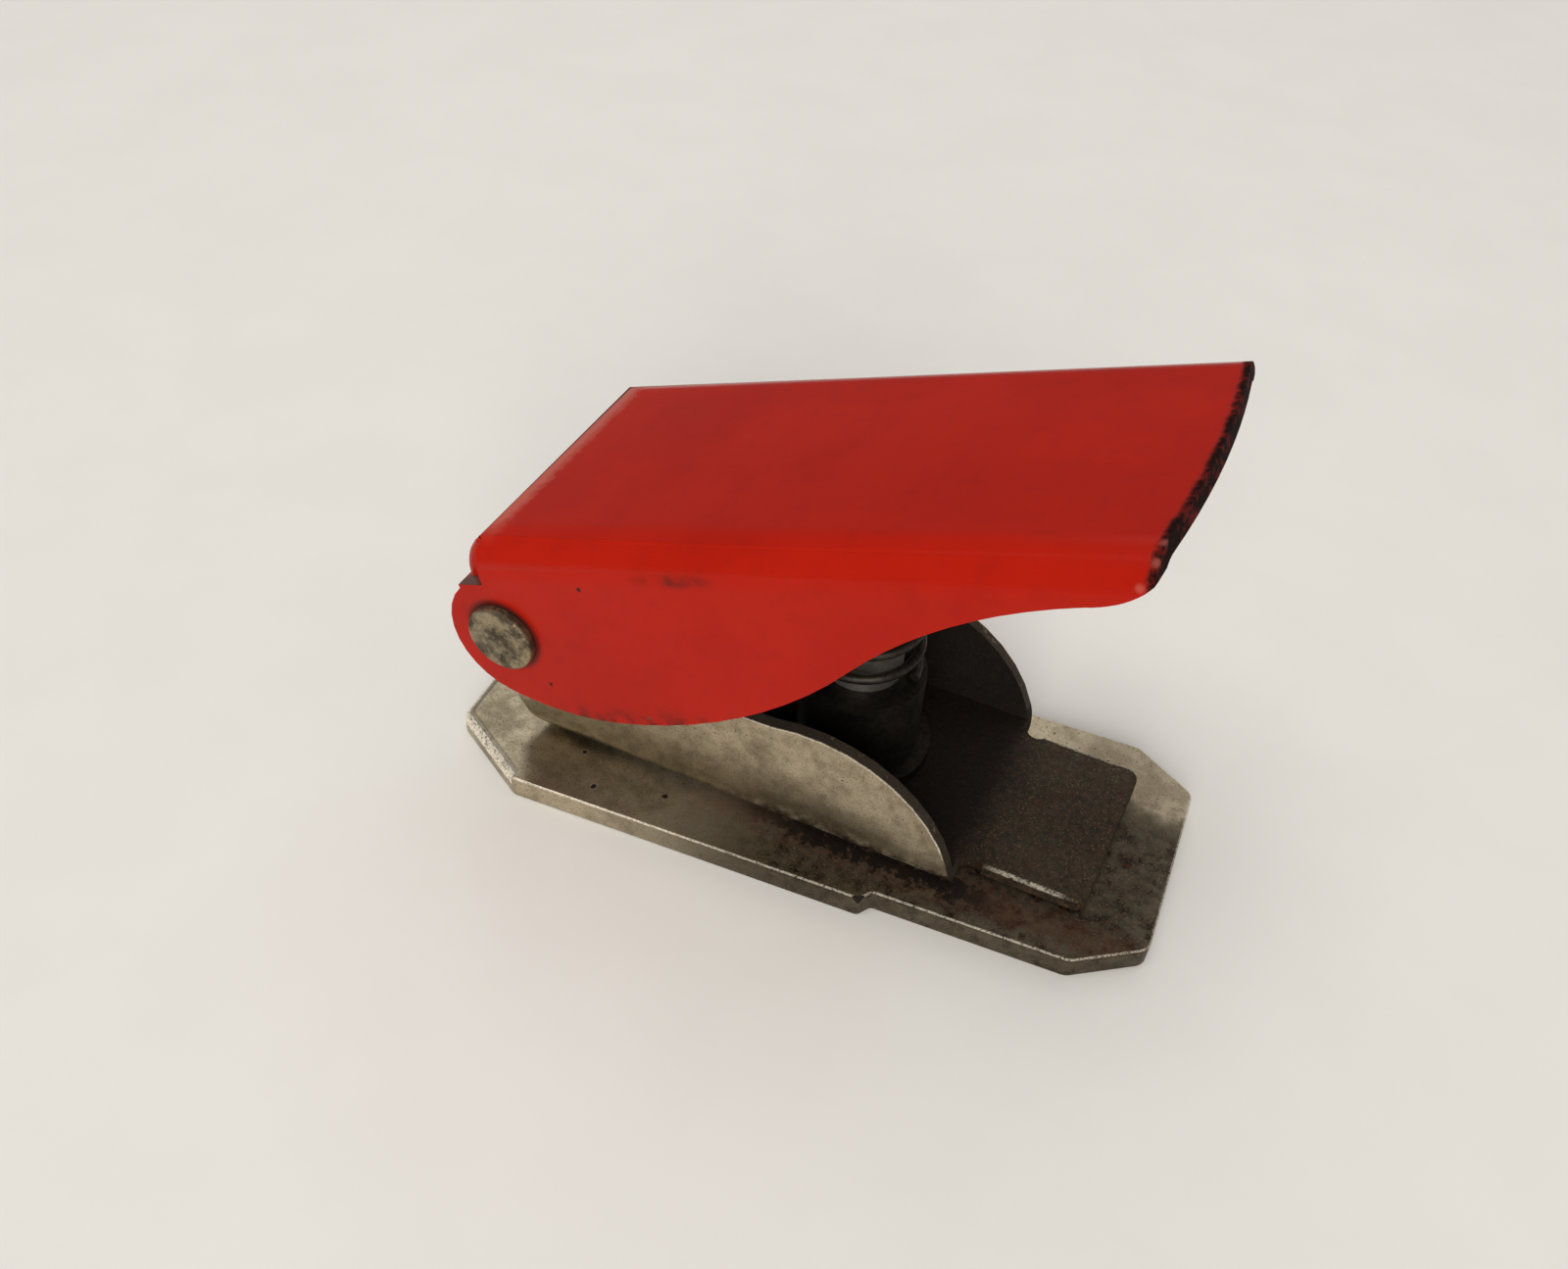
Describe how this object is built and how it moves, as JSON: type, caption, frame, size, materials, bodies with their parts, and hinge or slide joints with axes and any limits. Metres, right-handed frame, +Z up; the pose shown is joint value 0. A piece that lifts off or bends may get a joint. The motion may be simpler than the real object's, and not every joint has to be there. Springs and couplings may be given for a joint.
{
  "type": "single hole punch",
  "caption": "Small desk hole punch: a red pressed-steel lever hinged on a riveted sheet frame presses a sprung punch pin through paper into a flat base plate.",
  "frame": {"origin": "on the base plate's underside, straight below the pivot axis, in the middle plane of the frame", "axes": "+X towards the lever's free end, +Y to the left seen from behind the pivot, +Z up from the table"},
  "size_m": [0.0578, 0.0285, 0.0385],
  "materials": {
    "plated_steel": "tarnished nickel plate with brown spots",
    "red_enamel": "worn gloss enamel",
    "rivet_steel": "mottled nickel plate",
    "dull_steel": "dull",
    "tool_steel": "ground",
    "spring_steel": "drawn wire"
  },
  "bodies": {
    "body": {"base_plate": "plated_steel", "throat_spacer": "dull_steel", "frame": "plated_steel", "frame_rivets": "dull_steel", "pivot_rivet": "rivet_steel", "pivot_tube": "dull_steel", "pivot_washers": "dull_steel", "guide_bush": "dull_steel", "return_spring": "spring_steel"},
    "lever": {"lever": "red_enamel"},
    "punch": {"punch_pin": "tool_steel"}
  },
  "joints": [
    {"name": "lever_hinge", "type": "hinge", "parent": "body", "child": "lever", "pos_m": [0, 0, 0.0144], "axis": [0, 1, 0], "range_deg": [0, 14], "stiffness_Nm_per_rad": 0.58, "springref_deg": -9.51},
    {"name": "punch_slide", "type": "slide", "parent": "body", "child": "punch", "axis": [0, 0, -1], "range_m": [0, 0.0059], "deforming": ["return_spring"]}
  ],
  "couplings": [
    {"joint": "punch_slide", "follows": "lever_hinge", "m_per_rad": 0.024044}
  ]
}
